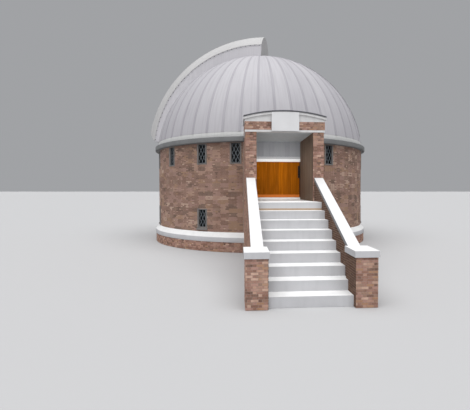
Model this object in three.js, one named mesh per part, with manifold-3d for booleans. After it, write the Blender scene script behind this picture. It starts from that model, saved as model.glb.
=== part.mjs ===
// A brick observatory: a round drum with a rotating dome, an up-and-over shutter,
// and an entrance porch at the head of a straight flight of steps.
// Millimetres, +Z up. The origin is on the dome's axis at ground level, and the porch faces -Y.
// Azimuths are in degrees from -Y, growing towards +X.

import * as THREE from 'three';
import { mergeGeometries, mergeVertices } from 'three/addons/utils/BufferGeometryUtils.js';
import Module from 'manifold-3d';

const wasm = await Module();
wasm.setup();

// Driving dimensions
const GAP = 0.3;                       // between pieces that touch
const FACET = 5;                       // degrees of arc to one facet of the drum

const WALL_OUTER = 7410;               // drum wall radius
const WALL_THICKNESS = 450;
const WALL_TOP = 6220;
const FLOOR_LEVEL = 2993;              // upper floor, porch floor and landing
const FLOOR_THICKNESS = 250;
const GROUND_FLOOR_TOP = 200;

const PLINTH_OUTER = 7628;
const PLINTH_TOP = 565;
const BAND_OUTER = 7660;
const BAND_SHOULDER = 790;             // top of the band's upright face
const BAND_TOP = 1106;
const CORNICE_OUTER = 7660;
const CORNICE_INNER = 7300;
const CORNICE_TOP = 6510;

const WINDOW_WIDTH = 600;
const UPPER_WINDOW = { bottom: 5035, top: 6190 };
const LOWER_WINDOW = { bottom: 1340, top: 2395 };
const UPPER_AZIMUTHS = [29.7, 73, 94, 115, 136, 157, 178, 203, 224, 245, 266, 287, 308, 329, 345.5];
const LOWER_AZIMUTHS = [29.7, 73, 115, 157, 203, 245, 287, 329];
const GLASS_THICKNESS = 20;
const GLASS_LAP = 60;                  // glass past the window's head and sill

const RAIL = { inner: 7130, outer: 7230, height: 140 };
const ROLLER_COUNT = 12;
const ROLLER = { width: 80, length: 260 };
const BASE_RING = { inner: 7050, bottom: 6590, top: 6780 };
const SKIRT = { inner: 7380, outer: 7430, bottom: 6520, top: 6800 };

const DOME_RADIUS = 7519;
const DOME_CENTRE = 5671;              // height of the dome's centre
const DOME_THICKNESS = 60;
const GORES = 48;
const DOME_ROWS = 9;

const SHUTTER_AZIMUTH = -102;
const SLIT_HALF = 1800;                // half the slit's width, to the shell's cut edge
const SLIT_SILL = 7110;
const SLIT_PAST_ZENITH = 100;
const SLIT_RAIL = { width: 80, deep: 7200, proud: 7323, outer: 7345, first: 11.8, last: 168 };
// The hood's arch stands higher than the dome's by lift, and its lower end rakes back to the crown
const HOOD = {
  lift: 430, first: 7.5, crownFirst: 14, last: 93, half: 2130, edge: 7600, crown: 8730, thickness: 50,
};
const CHEEK = { inner: 2050, outer: 2100, foot: 7245 };
const SHOE = { bottom: 7330, top: 7450, arc: 3, at: [14, 38, 62, 86], clearance: 0.4 };
const END_PLATE = { foot: 7580, thickness: 50, arc: 0.4, clearance: 2 };

const PORCH_X = 420;                   // the porch's middle line
const PORCH_FRONT = -11093;
const PORCH_INNER = 1315;              // half the clear width
const PORCH_OUTER = 1809;
const PORCH_WALL_TOP = 6170;
const PORCH_ROOF_BACK = -9150;         // ends outside the shutter's sweep
const ENTABLATURE = { half: 1845, whiteTop: 6262, brickTop: 6640, depth: 300 };
const PORCH_ROOF = { half: 1908, thickness: 158, eaves: 6895, peak: 7154, overhang: 80, steps: 12 };
const PORCH_ATTIC_TOP = 6760;
const PORCH_DEEPEST = -7000;           // past the drum's face, where the drum cuts the porch off
const LINK_ROOF_TOP = 6450;
const PLAQUE = { half: 628, bottom: 6195, top: 7045, thickness: 60 };

const DOOR_PLANE = -7668;
const THRESHOLD_TOP = 3105;
const DOOR_HEAD = 5080;
const LINTEL_TOP = 5350;
const FRAME_DEPTH = 108;
const JAMB = 40;
const LEAF = { thickness: 60, side: 5, foot: 8 };
const HINGE = { radius: 14, stand: 16, length: 80, strap: 320, plate: 8, at: [3400, 4060, 4720] };
const KICK = { height: 150, thickness: 8 };
const HANDLE = { inset: 6, width: 90, thickness: 16, bottom: 4190, top: 4851, reach: 45, foot: 60 };

const RISERS = 9;
const RISER = FLOOR_LEVEL / RISERS;
const GOING = 567;
const LANDING_FRONT = -12570;
const FLANK = { inner: 1382, outer: 1768 };
const COPING = { inner: 1372, outer: 1778, thickness: 140, top: 4076 };
const PEDESTAL = { inner: 1305, outer: 1975, front: -17290, back: -16300, top: 1512 };
const CAP = { lap: 40, top: 1706 };

const WALL_INNER = WALL_OUTER - WALL_THICKNESS;
const DOORWAY = { start: 350, end: 375 };
const WALL_JOINTS = [15, 85, 145, 215, 275, 350];

// Materials
const finish = (color, roughness, metalness = 0) =>
  new THREE.MeshStandardMaterial({ color, roughness, metalness });
const brick = finish(0x8a7060, 0.9);
const trim = finish(0xe2e2e2, 0.7);
const greyTrim = finish(0x7c7c80, 0.7);
const concrete = finish(0xa8a8a4, 0.85);
const domePaint = finish(0xc8c8ce, 0.45, 0.3);
const steel = finish(0x8d9094, 0.4, 0.9);
const glass = finish(0x26302e, 0.1);
const greyBoard = finish(0x7f7f80, 0.7);
const doorWood = finish(0x98581f, 0.6);
const orangeWood = finish(0xe07030, 0.6);
const darkMetal = finish(0x2c2a29, 0.4, 0.8);

const rad = THREE.MathUtils.degToRad;

// Solids
function weld(geometry) {
  const bare = geometry.index ? geometry.toNonIndexed() : geometry.clone();
  bare.deleteAttribute('normal');
  bare.deleteAttribute('uv');
  const welded = mergeVertices(bare, 1e-3);
  const index = welded.index.array;
  const kept = [];
  for (let i = 0; i < index.length; i += 3) {
    const [a, b, c] = [index[i], index[i + 1], index[i + 2]];
    if (a !== b && b !== c && c !== a) kept.push(a, b, c);
  }
  welded.setIndex(kept);
  return welded;
}

function toSolid(geometry) {
  const welded = weld(geometry);
  return new wasm.Manifold(new wasm.Mesh({
    numProp: 3,
    vertProperties: new Float32Array(welded.attributes.position.array),
    triVerts: new Uint32Array(welded.index.array),
  }));
}

function toGeometry(solid) {
  const mesh = solid.getMesh();
  const geometry = new THREE.BufferGeometry();
  geometry.setAttribute('position', new THREE.BufferAttribute(new Float32Array(mesh.vertProperties), 3));
  geometry.setIndex(new THREE.BufferAttribute(new Uint32Array(mesh.triVerts), 1));
  geometry.computeVertexNormals();
  return geometry;
}

function subtract(body, ...cutters) {
  return toGeometry(cutters.reduce((solid, cutter) => solid.subtract(toSolid(cutter)), toSolid(body)));
}

function join(first, ...others) {
  return toGeometry(others.reduce((solid, other) => solid.add(toSolid(other)), toSolid(first)));
}

function box([x0, x1], [y0, y1], [z0, z1]) {
  return new THREE.BoxGeometry(x1 - x0, y1 - y0, z1 - z0)
    .translate((x0 + x1) / 2, (y0 + y1) / 2, (z0 + z1) / 2);
}

// A closed profile of [radius, height] points, turned about the lathe's own axis.
// It starts at the angle start and runs for sweep degrees in the given number of steps.
function turned(profile, start, sweep, steps) {
  const points = profile.map(([r, z]) => new THREE.Vector2(r, z));
  if (THREE.ShapeUtils.area(points) < 0) points.reverse();
  const lathe = new THREE.LatheGeometry([...points, points[0].clone()], steps, rad(start), rad(sweep));
  if (sweep >= 360) return weld(lathe);
  const faces = THREE.ShapeUtils.triangulateShape(points, []);
  const cap = (angle, flip) => {
    const positions = faces.flatMap((face) => (flip ? [...face].reverse() : face))
      .flatMap((i) => [points[i].x * Math.sin(angle), points[i].y, points[i].x * Math.cos(angle)]);
    return new THREE.BufferGeometry()
      .setAttribute('position', new THREE.Float32BufferAttribute(positions, 3));
  };
  const skin = lathe.toNonIndexed();
  skin.deleteAttribute('normal');
  skin.deleteAttribute('uv');
  return weld(mergeGeometries([skin, cap(rad(start), false), cap(rad(start + sweep), true)]));
}

// The same profile turned about the building's vertical axis, in facets of the drum.
function ring(profile, start = 0, sweep = 360) {
  return turned(profile, start, sweep, Math.round(sweep / FACET)).rotateX(Math.PI / 2);
}

function rectangle(r0, r1, z0, z1) {
  return [[r0, z0], [r1, z0], [r1, z1], [r0, z1]];
}

// A profile that starts and ends on the axis
function turnedSolid(profile, steps) {
  const points = profile.map(([r, z]) => new THREE.Vector2(r, z));
  return weld(new THREE.LatheGeometry(points, steps)).rotateX(Math.PI / 2);
}

function disc(radius, z0, z1) {
  return turnedSolid([[0, z0], [radius, z0], [radius, z1], [0, z1]], 360 / FACET);
}

function extrude(points, depth) {
  const shape = new THREE.Shape(points.map(([u, v]) => new THREE.Vector2(u, v)));
  return new THREE.ExtrudeGeometry(shape, { depth, bevelEnabled: false });
}

// Outline in [y, z], extruded from x0 to x1
function prismX(points, x0, x1) {
  const turn = new THREE.Matrix4().makeBasis(
    new THREE.Vector3(0, 1, 0), new THREE.Vector3(0, 0, 1), new THREE.Vector3(1, 0, 0));
  return extrude(points, x1 - x0).applyMatrix4(turn).translate(x0, 0, 0);
}

// Outline in [x, z], extruded from y0 to y1
function prismY(points, y0, y1) {
  const turn = new THREE.Matrix4().makeBasis(
    new THREE.Vector3(1, 0, 0), new THREE.Vector3(0, 0, 1), new THREE.Vector3(0, -1, 0));
  return extrude(points, y1 - y0).applyMatrix4(turn).translate(0, y1, 0);
}

function mesh(name, geometry, material) {
  const part = new THREE.Mesh(geometry, material);
  part.name = name;
  return part;
}

// The drum
const drumOutline = [
  [0, -100], [PLINTH_OUTER + GAP, -100], [PLINTH_OUTER + GAP, PLINTH_TOP],
  [BAND_OUTER + GAP, PLINTH_TOP], [BAND_OUTER + GAP, BAND_TOP], [WALL_OUTER + GAP, BAND_TOP],
  [WALL_OUTER + GAP, WALL_TOP], [CORNICE_OUTER + GAP, WALL_TOP], [CORNICE_OUTER + GAP, 7600], [0, 7600],
];
const drumVolume = () => turnedSolid(drumOutline, 360 / FACET);

function windowCutter(azimuth, { bottom, top }) {
  return new THREE.BoxGeometry(WINDOW_WIDTH, 3 * WALL_THICKNESS, top - bottom)
    .translate(0, -(WALL_OUTER - WALL_THICKNESS / 2), (top + bottom) / 2)
    .rotateZ(rad(azimuth));
}

function wallSegment(start, end) {
  const inside = (azimuth) => azimuth > start && azimuth < end;
  const cutters = [
    ...UPPER_AZIMUTHS.filter(inside).map((azimuth) => windowCutter(azimuth, UPPER_WINDOW)),
    ...LOWER_AZIMUTHS.filter(inside).map((azimuth) => windowCutter(azimuth, LOWER_WINDOW)),
  ];
  const wall = ring(rectangle(WALL_INNER, WALL_OUTER, 0, WALL_TOP), start, end - start);
  return subtract(wall, ...cutters);
}

function addDrum(group) {
  const segments = WALL_JOINTS.slice(0, -1).map((start, i) => [start, WALL_JOINTS[i + 1]]);
  const names = ['front_right', 'right', 'rear', 'left', 'front_left'];
  const seam = THREE.MathUtils.radToDeg(GAP / WALL_OUTER);
  segments.forEach(([start, end], i) => {
    group.add(mesh(`wall_${names[i]}`, wallSegment(start + seam, end - seam), brick));
  });
  const doorSweep = DOORWAY.end - DOORWAY.start;
  group.add(mesh('wall_below_door', ring(
    rectangle(WALL_INNER, WALL_OUTER, 0, FLOOR_LEVEL), DOORWAY.start, doorSweep), brick));
  group.add(mesh('wall_above_door', ring(
    rectangle(WALL_INNER, WALL_OUTER, LINTEL_TOP, WALL_TOP), DOORWAY.start, doorSweep), brick));

  group.add(mesh('plinth', ring(rectangle(WALL_OUTER + GAP, PLINTH_OUTER, 0, PLINTH_TOP)), brick));
  group.add(mesh('water_table', ring([
    [WALL_OUTER + GAP, PLINTH_TOP + GAP], [BAND_OUTER, PLINTH_TOP + GAP], [BAND_OUTER, BAND_SHOULDER],
    [BAND_OUTER - 40, BAND_SHOULDER + 110], [BAND_OUTER - 110, BAND_TOP - 90],
    [WALL_OUTER + 60, BAND_TOP], [WALL_OUTER + GAP, BAND_TOP],
  ]), trim));
  group.add(mesh('cornice', ring([
    [CORNICE_INNER, WALL_TOP + GAP], [CORNICE_OUTER - 90, WALL_TOP + GAP],
    [CORNICE_OUTER, WALL_TOP + 90], [CORNICE_OUTER, CORNICE_TOP - 110],
    [CORNICE_OUTER - 90, CORNICE_TOP], [CORNICE_INNER, CORNICE_TOP],
  ]), greyTrim));

  group.add(mesh('ground_floor', disc(WALL_INNER - GAP, 0, GROUND_FLOOR_TOP), concrete));
  group.add(mesh('upper_floor',
    disc(WALL_INNER - GAP, FLOOR_LEVEL - FLOOR_THICKNESS, FLOOR_LEVEL), concrete));

  const pane = ({ bottom, top }) => rectangle(
    WALL_INNER - GAP - GLASS_THICKNESS, WALL_INNER - GAP, bottom - GLASS_LAP, top);
  group.add(mesh('upper_glazing', ring(pane(UPPER_WINDOW), 20, 330), glass));
  group.add(mesh('lower_glazing', ring(pane(LOWER_WINDOW)), glass));
  group.add(mesh('dome_rail', ring(
    rectangle(RAIL.inner, RAIL.outer, WALL_TOP + GAP, WALL_TOP + RAIL.height)), steel));
}

// The porch
const porchX = (a, b) => [PORCH_X + a, PORCH_X + b];

function addPorch(group) {
  const drum = drumVolume();
  for (const [name, side] of [['left', -1], ['right', 1]]) {
    const span = [side * PORCH_INNER, side * PORCH_OUTER].sort((a, b) => a - b);
    group.add(mesh(`porch_wall_${name}`, subtract(
      box(porchX(...span), [PORCH_FRONT, PORCH_DEEPEST], [0, PORCH_WALL_TOP]), drum), brick));
  }

  const floor = join(
    box(porchX(-PORCH_INNER + GAP, PORCH_INNER - GAP), [PORCH_FRONT - 10, PORCH_DEEPEST],
      [FLOOR_LEVEL - FLOOR_THICKNESS, FLOOR_LEVEL]),
    box(porchX(-FLANK.inner + GAP, FLANK.inner - GAP), [LANDING_FRONT, PORCH_FRONT - GAP],
      [FLOOR_LEVEL - FLOOR_THICKNESS, FLOOR_LEVEL]));
  group.add(mesh('landing', subtract(floor, drum), trim));
  group.add(mesh('landing_wall', box(
    porchX(-FLANK.inner + GAP, FLANK.inner - GAP), [LANDING_FRONT, LANDING_FRONT + 400],
    [0, FLOOR_LEVEL - FLOOR_THICKNESS - GAP]), brick));

  addDoorway(group);
  addEntablature(group, drum);
}

function addEntablature(group, drum) {
  const { half, whiteTop, brickTop, depth } = ENTABLATURE;
  const front = PORCH_FRONT - (half - PORCH_OUTER);
  const inside = porchX(-PORCH_INNER, PORCH_INNER);
  const innerFront = front + depth;
  const innerBack = PORCH_ROOF_BACK - depth;
  group.add(mesh('architrave', subtract(
    box(porchX(-half, half), [front, PORCH_ROOF_BACK], [PORCH_WALL_TOP + GAP, whiteTop]),
    box(inside, [innerFront, PORCH_ROOF_BACK + depth], [PORCH_WALL_TOP - depth, whiteTop + depth])), trim));
  group.add(mesh('porch_ceiling', subtract(
    box(porchX(-PORCH_INNER + GAP, PORCH_INNER - GAP), [innerFront + GAP, PORCH_DEEPEST],
      [PORCH_WALL_TOP + GAP, whiteTop]), drum), greyBoard));
  group.add(mesh('entablature', subtract(
    box(porchX(-half, half), [front, PORCH_ROOF_BACK], [whiteTop + GAP, brickTop]),
    box(inside, [innerFront, innerBack], [whiteTop - depth, brickTop + depth])), brick));
  group.add(mesh('link_roof', subtract(
    box(porchX(-half, half), [PORCH_ROOF_BACK + GAP, PORCH_DEEPEST], [whiteTop + GAP, LINK_ROOF_TOP]),
    drum), greyTrim));

  const roofFront = front - PORCH_ROOF.overhang;
  const underside = roofArc(PORCH_ROOF.thickness);
  const aboveUnderside = [
    ...underside.map(([x, z]) => [x, z - GAP]),
    [PORCH_X - PORCH_ROOF.half, 2 * PORCH_ROOF.peak], [PORCH_X + PORCH_ROOF.half, 2 * PORCH_ROOF.peak],
  ];
  group.add(mesh('fascia', subtract(
    box(porchX(-half, half), [front, PORCH_ROOF_BACK], [brickTop + GAP, PORCH_ROOF.peak]),
    box(inside, [innerFront, innerBack], [brickTop - depth, PORCH_ATTIC_TOP]),
    prismY(aboveUnderside, roofFront, PORCH_ROOF_BACK + depth)), trim));
  group.add(mesh('porch_roof', prismY(
    [...roofArc(0), ...underside.toReversed()], roofFront, PORCH_ROOF_BACK), greyTrim));
  group.add(mesh('plaque', box(
    porchX(-PLAQUE.half, PLAQUE.half), [roofFront - GAP - PLAQUE.thickness, roofFront - GAP],
    [PLAQUE.bottom, PLAQUE.top]), trim));
}

// Line of the porch's segmental vault, from right to left, at a depth below its crown line
function roofArc(below) {
  const { half, eaves, peak, steps } = PORCH_ROOF;
  const rise = peak - eaves;
  const radius = (half * half + rise * rise) / (2 * rise);
  return Array.from({ length: steps + 1 }, (_, i) => half - (2 * half * i) / steps)
    .map((x) => [PORCH_X + x, peak - radius + Math.sqrt((radius - below) ** 2 - x * x)]);
}

function addDoorway(group) {
  const opening = porchX(-PORCH_INNER + GAP, PORCH_INNER - GAP);
  const depth = [DOOR_PLANE, DOOR_PLANE + FRAME_DEPTH];
  group.add(mesh('door_threshold', box(opening, [DOOR_PLANE - 30, depth[1]],
    [FLOOR_LEVEL + GAP, THRESHOLD_TOP]), greyTrim));
  group.add(mesh('door_lintel', box(opening, [DOOR_PLANE - 40, depth[1]], [DOOR_HEAD, LINTEL_TOP]), trim));
  group.add(mesh('transom_panel', box(opening, [DOOR_PLANE + 10, DOOR_PLANE + 70],
    [LINTEL_TOP + GAP, PORCH_WALL_TOP]), greyBoard));

  const jambHeight = [THRESHOLD_TOP + GAP, DOOR_HEAD - GAP];
  const leftJamb = box([opening[0], opening[0] + JAMB], depth, jambHeight);
  const rightJamb = box([opening[1] - JAMB, opening[1]], depth, jambHeight);
  const [hingeX, hingeY] = hingeAxis();
  const knuckle = (bottom) => new THREE.CylinderGeometry(HINGE.radius, HINGE.radius, HINGE.length, 12)
    .rotateX(Math.PI / 2).translate(hingeX, hingeY, bottom + HINGE.length / 2);
  const jambPlate = (bottom) => box([hingeX - JAMB + 6, hingeX],
    [hingeY - HINGE.plate / 2, DOOR_PLANE + 5], [bottom, bottom + HINGE.length]);
  group.add(mesh('door_jamb_left',
    join(leftJamb, ...HINGE.at.map(knuckle), ...HINGE.at.map(jambPlate)), darkMetal));
  group.add(mesh('door_jamb_right', rightJamb, darkMetal));

  const leafX = [opening[0] + JAMB + LEAF.side, opening[1] - JAMB - LEAF.side];
  const leafZ = [THRESHOLD_TOP + LEAF.foot, DOOR_HEAD - LEAF.foot];
  const seat = HINGE.length + GAP;
  const strap = (bottom) => box([hingeX, hingeX + HINGE.strap],
    [hingeY - HINGE.plate / 2, DOOR_PLANE + 5], [bottom + seat, bottom + seat + HINGE.length]);
  const leaf = join(box(leafX, [DOOR_PLANE, DOOR_PLANE + LEAF.thickness], leafZ),
    ...HINGE.at.map((bottom) => knuckle(bottom + seat)), ...HINGE.at.map(strap));
  group.add(mesh('door_leaf', leaf, doorWood));
  const strapEnd = hingeX + HINGE.strap;
  group.add(mesh('door_kick_strip', box([leafX[0] + 2, leafX[1]],
    [DOOR_PLANE - GAP - KICK.thickness, DOOR_PLANE - GAP], [leafZ[0], leafZ[0] + KICK.height]), orangeWood));

  const handleX = [leafX[1] - HANDLE.inset - HANDLE.width, leafX[1] - HANDLE.inset];
  const face = DOOR_PLANE - GAP;
  const grip = box(handleX, [face - HANDLE.reach, face - HANDLE.reach + HANDLE.thickness],
    [HANDLE.bottom, HANDLE.top]);
  const foot = (z) => box(handleX, [face - HANDLE.reach + 10, face], [z, z + HANDLE.foot]);
  group.add(mesh('door_handle',
    join(grip, foot(HANDLE.bottom + 30), foot(HANDLE.top - 30 - HANDLE.foot)), darkMetal));
}

function hingeAxis() {
  return [PORCH_X - PORCH_INNER + GAP + JAMB + LEAF.side / 2, DOOR_PLANE - HINGE.stand];
}

// The steps, their flank walls and pedestals
function addSteps(group) {
  const pedestals = [-1, 1].map((side) => {
    const x = [side * (PEDESTAL.inner - GAP), side * (PEDESTAL.outer + GAP)].sort((a, b) => a - b);
    return box(porchX(...x), [PEDESTAL.front - GAP, PEDESTAL.back + GAP], [-50, PEDESTAL.top + 500]);
  });
  for (let step = 1; step < RISERS; step += 1) {
    const back = LANDING_FRONT - (RISERS - 1 - step) * GOING - GAP;
    const front = back - GOING + GAP;
    const tread = box(porchX(-FLANK.inner + GAP, FLANK.inner - GAP), [front, back], [0, step * RISER]);
    group.add(mesh(`step_${step}`, front < PEDESTAL.back ? subtract(tread, ...pedestals) : tread, trim));
  }

  const capBack = PEDESTAL.back + CAP.lap;
  const fall = (COPING.top - CAP.top) / (PORCH_FRONT - capBack);
  const lineAt = (y, below) => COPING.top - (PORCH_FRONT - y) * fall - below;
  const drop = COPING.thickness * Math.hypot(1, fall);
  const top = PORCH_FRONT - GAP;
  for (const [name, side] of [['left', -1], ['right', 1]]) {
    const across = (inner, outer) => porchX(...[side * inner, side * outer].sort((a, b) => a - b));
    group.add(mesh(`flank_${name}`, prismX([
      [PEDESTAL.back + GAP, 0], [top, 0], [top, lineAt(top, drop + GAP)],
      [capBack + GAP, lineAt(capBack + GAP, drop + GAP)], [capBack + GAP, PEDESTAL.top - GAP],
      [PEDESTAL.back + GAP, PEDESTAL.top - GAP],
    ], ...across(FLANK.inner, FLANK.outer)), brick));
    group.add(mesh(`coping_${name}`, prismX([
      [capBack + GAP, lineAt(capBack + GAP, drop)], [top, lineAt(top, drop)],
      [top, lineAt(top, 0)], [capBack + GAP, lineAt(capBack + GAP, 0)],
    ], ...across(COPING.inner, COPING.outer)), trim));
    group.add(mesh(`pedestal_${name}`, box(across(PEDESTAL.inner, PEDESTAL.outer),
      [PEDESTAL.front, PEDESTAL.back], [0, PEDESTAL.top]), brick));
    group.add(mesh(`pedestal_cap_${name}`, box(across(PEDESTAL.inner - CAP.lap, PEDESTAL.outer + CAP.lap),
      [PEDESTAL.front - CAP.lap, capBack], [PEDESTAL.top + GAP, CAP.top]), trim));
  }
}

// The dome turns on the rail, and carries the shutter
const shutterHeading = rad(SHUTTER_AZIMUTH);
const towardsSlit = new THREE.Vector3(Math.sin(shutterHeading), -Math.cos(shutterHeading), 0);
const up = new THREE.Vector3(0, 0, 1);
const acrossSlit = new THREE.Vector3().crossVectors(towardsSlit, up);
const slitFrame = new THREE.Matrix4().makeBasis(up, acrossSlit, towardsSlit)
  .setPosition(0, 0, DOME_CENTRE);

function domeCap(radius) {
  const bottom = SKIRT.top + GAP;
  const first = Math.asin((bottom - DOME_CENTRE) / radius);
  const arc = Array.from({ length: DOME_ROWS }, (_, i) => first + ((Math.PI / 2 - first) * i) / DOME_ROWS)
    .map((angle) => [radius * Math.cos(angle), DOME_CENTRE + radius * Math.sin(angle)]);
  return turnedSolid([[0, bottom], ...arc, [0, DOME_CENTRE + radius]], GORES);
}

function addDome(group) {
  const hollow = domeCap(DOME_RADIUS - DOME_THICKNESS);
  const opening = box([SLIT_SILL - DOME_CENTRE, 8000], [-SLIT_HALF - GAP, SLIT_HALF + GAP],
    [-SLIT_PAST_ZENITH, 8000]).applyMatrix4(slitFrame);
  const lower = disc(DOME_RADIUS - DOME_THICKNESS - 130, SKIRT.top - 50, SKIRT.top + 50);
  group.add(mesh('dome_shell', subtract(domeCap(DOME_RADIUS), hollow, lower, opening), domePaint));
  group.add(mesh('dome_skirt',
    ring(rectangle(SKIRT.inner, SKIRT.outer, SKIRT.bottom, SKIRT.top)), domePaint));

  const railTop = WALL_TOP + RAIL.height + GAP;
  const railMiddle = (RAIL.inner + RAIL.outer) / 2;
  const rollers = Array.from({ length: ROLLER_COUNT }, (_, i) => new THREE.BoxGeometry(
    ROLLER.length, ROLLER.width, BASE_RING.bottom + 20 - railTop)
    .translate(0, -railMiddle, (BASE_RING.bottom + 20 + railTop) / 2)
    .rotateZ(rad((360 * i) / ROLLER_COUNT + FACET / 2)));
  group.add(mesh('dome_base_ring', join(
    ring(rectangle(BASE_RING.inner, SKIRT.inner - GAP, BASE_RING.bottom, BASE_RING.top)),
    ...rollers), steel));

  const { width, deep, proud, outer, first, last } = SLIT_RAIL;
  for (const [name, side] of [['near', -1], ['far', 1]]) {
    const [y0, y1] = [side * (SLIT_HALF - width), side * SLIT_HALF].sort((a, b) => a - b);
    const jamb = turned(rectangle(deep, outer, y0, y1), first, 90 - first, 32);
    const runOut = turned(rectangle(proud, outer, y0, y1), 89.5, last - 89.5, 32);
    group.add(mesh(`slit_rail_${name}`, join(jamb, runOut).applyMatrix4(slitFrame), domePaint));
  }
}

// Outer line of the hood across its width
const crownRise = HOOD.crown - HOOD.edge;
const crownRadius = (HOOD.half ** 2 + crownRise ** 2) / (2 * crownRise);
const crownAt = (y) => HOOD.crown - crownRadius + Math.sqrt(crownRadius ** 2 - y * y);
const crownStations = [-HOOD.half, -2000, -1750, -1400, -950, -480, 0, 480, 950, 1400, 1750, 2000, HOOD.half];

// Underside of the hood's skin, straight between the stations
function skinUnderside(y) {
  const i = crownStations.findIndex((station) => station > y) - 1;
  const [a, b] = [crownStations[i], crownStations[i + 1]];
  return THREE.MathUtils.mapLinear(y, a, b, crownAt(a), crownAt(b)) - HOOD.thickness;
}

// A point of the hood's arch in [up, towards the slit]
function hoodPoint(radius, angle) {
  return new THREE.Vector2(HOOD.lift + radius * Math.sin(rad(angle)), radius * Math.cos(rad(angle)));
}

// What the lower end's rake takes off, and all that lies deeper than the closing plate
function lowerEnd() {
  const corner = hoodPoint(HOOD.edge, HOOD.first);
  const rake = hoodPoint(HOOD.crown, HOOD.crownFirst).sub(corner).normalize();
  const spoke = hoodPoint(1, HOOD.first).sub(new THREE.Vector2(HOOD.lift, 0));
  const outward = new THREE.Vector2(-rake.y, rake.x);
  const below = new THREE.Vector2(-spoke.y, spoke.x);
  const inset = corner.clone()
    .addScaledVector(outward.clone().add(below), -END_PLATE.thickness / (1 + outward.dot(below)));
  const at = (from, ...moves) => moves.reduce((point, [direction, length]) =>
    point.addScaledVector(direction, length), from.clone()).toArray();
  const off = prismY([
    at(corner, [rake, -1500]), at(corner, [rake, 3500]),
    at(corner, [rake, 3500], [outward, 3000]), at(corner, [rake, -1500], [outward, 3000]),
  ], -2300, 2300);
  const deep = prismY([
    at(inset, [spoke, -7000]), at(inset), at(inset, [rake, 4000]), [9500, 500],
  ], -2300, 2300);
  return { off, deep };
}

function addShutter(group) {
  const sweep = HOOD.last - HOOD.first;
  const steps = 33;
  const arch = (profile, start = HOOD.first, arc = sweep, count = steps) =>
    turned(profile, start, arc, count).translate(HOOD.lift, 0, 0);
  const { off, deep } = lowerEnd();
  const skin = [
    ...crownStations.map((y) => [crownAt(y), y]),
    ...crownStations.map((y) => [crownAt(y) - HOOD.thickness, y]).reverse(),
  ];
  group.add(mesh('shutter_skin', subtract(arch(skin), off), domePaint));

  const belowFoot = turned(rectangle(5000, CHEEK.foot, -2300, 2300), -5, 125, 75);
  for (const [name, side] of [['near', -1], ['far', 1]]) {
    const [inner, outer] = [side * CHEEK.inner, side * CHEEK.outer];
    const plate = subtract(arch([
      [6500, inner], [6500, outer], [skinUnderside(outer) - GAP, outer], [skinUnderside(inner) - GAP, inner],
    ]), belowFoot, off);
    const [y0, y1] = [side * (SLIT_HALF + SHOE.clearance), side * (CHEEK.inner + 10)].sort((a, b) => a - b);
    const shoes = SHOE.at.map((angle) =>
      turned(rectangle(SHOE.bottom, SHOE.top, y0, y1), angle, SHOE.arc, 2));
    group.add(mesh(`shutter_cheek_${name}`, join(plate, ...shoes), domePaint));
  }

  const edge = CHEEK.inner - GAP;
  const stations = [-edge, ...crownStations.slice(2, -2), edge];
  const closing = [
    [6500, -edge], ...stations.map((y) => [skinUnderside(y) - END_PLATE.clearance, y]), [6500, edge],
  ];
  const round = [-2300, ...crownStations.slice(2, -2), 2300]
    .map((y) => [Math.sqrt(END_PLATE.foot ** 2 - y * y), y]);
  const belowPlate = turned([[5000, -2300], ...round, [5000, 2300]], -5, 125, 75);
  group.add(mesh('shutter_end_lower', subtract(
    arch(closing, HOOD.first, 20, 8), belowPlate, off, deep), domePaint));
  group.add(mesh('shutter_end_upper', subtract(
    arch(closing, HOOD.last - END_PLATE.arc, END_PLATE.arc, 1), belowPlate), domePaint));
  group.applyMatrix4(slitFrame);
}

const observatory = new THREE.Group();
observatory.name = 'observatory';
addDrum(observatory);
addPorch(observatory);
addSteps(observatory);
const dome = new THREE.Group();
addDome(dome);
observatory.add(dome);
const shutter = new THREE.Group();
addShutter(shutter);
observatory.add(shutter);

export default observatory;
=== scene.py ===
"""The observatory's looks: brickwork, seamed dome, shutter hood, leaded windows, porch, steps."""
import random
from math import acos, asin, atan2, ceil, cos, degrees, hypot, pi, radians, sin, sqrt, tau
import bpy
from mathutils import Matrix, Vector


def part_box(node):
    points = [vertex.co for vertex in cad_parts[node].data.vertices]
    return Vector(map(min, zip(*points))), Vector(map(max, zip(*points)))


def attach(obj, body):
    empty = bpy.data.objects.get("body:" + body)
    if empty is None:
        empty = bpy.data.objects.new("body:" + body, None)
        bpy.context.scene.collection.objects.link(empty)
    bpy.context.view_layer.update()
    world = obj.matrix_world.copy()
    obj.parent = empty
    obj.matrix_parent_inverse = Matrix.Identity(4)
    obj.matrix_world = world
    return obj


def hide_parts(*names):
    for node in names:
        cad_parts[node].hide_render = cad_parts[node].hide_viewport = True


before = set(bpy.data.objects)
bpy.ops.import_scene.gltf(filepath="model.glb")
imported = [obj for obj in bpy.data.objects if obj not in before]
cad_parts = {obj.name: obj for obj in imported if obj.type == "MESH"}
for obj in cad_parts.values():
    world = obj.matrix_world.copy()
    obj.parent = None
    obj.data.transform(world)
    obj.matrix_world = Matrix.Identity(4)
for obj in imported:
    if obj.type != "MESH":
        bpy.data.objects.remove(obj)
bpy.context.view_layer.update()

from types import SimpleNamespace as Sizes

import bpy
from mathutils import Vector

UP = Vector((0, 0, 1))

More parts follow.
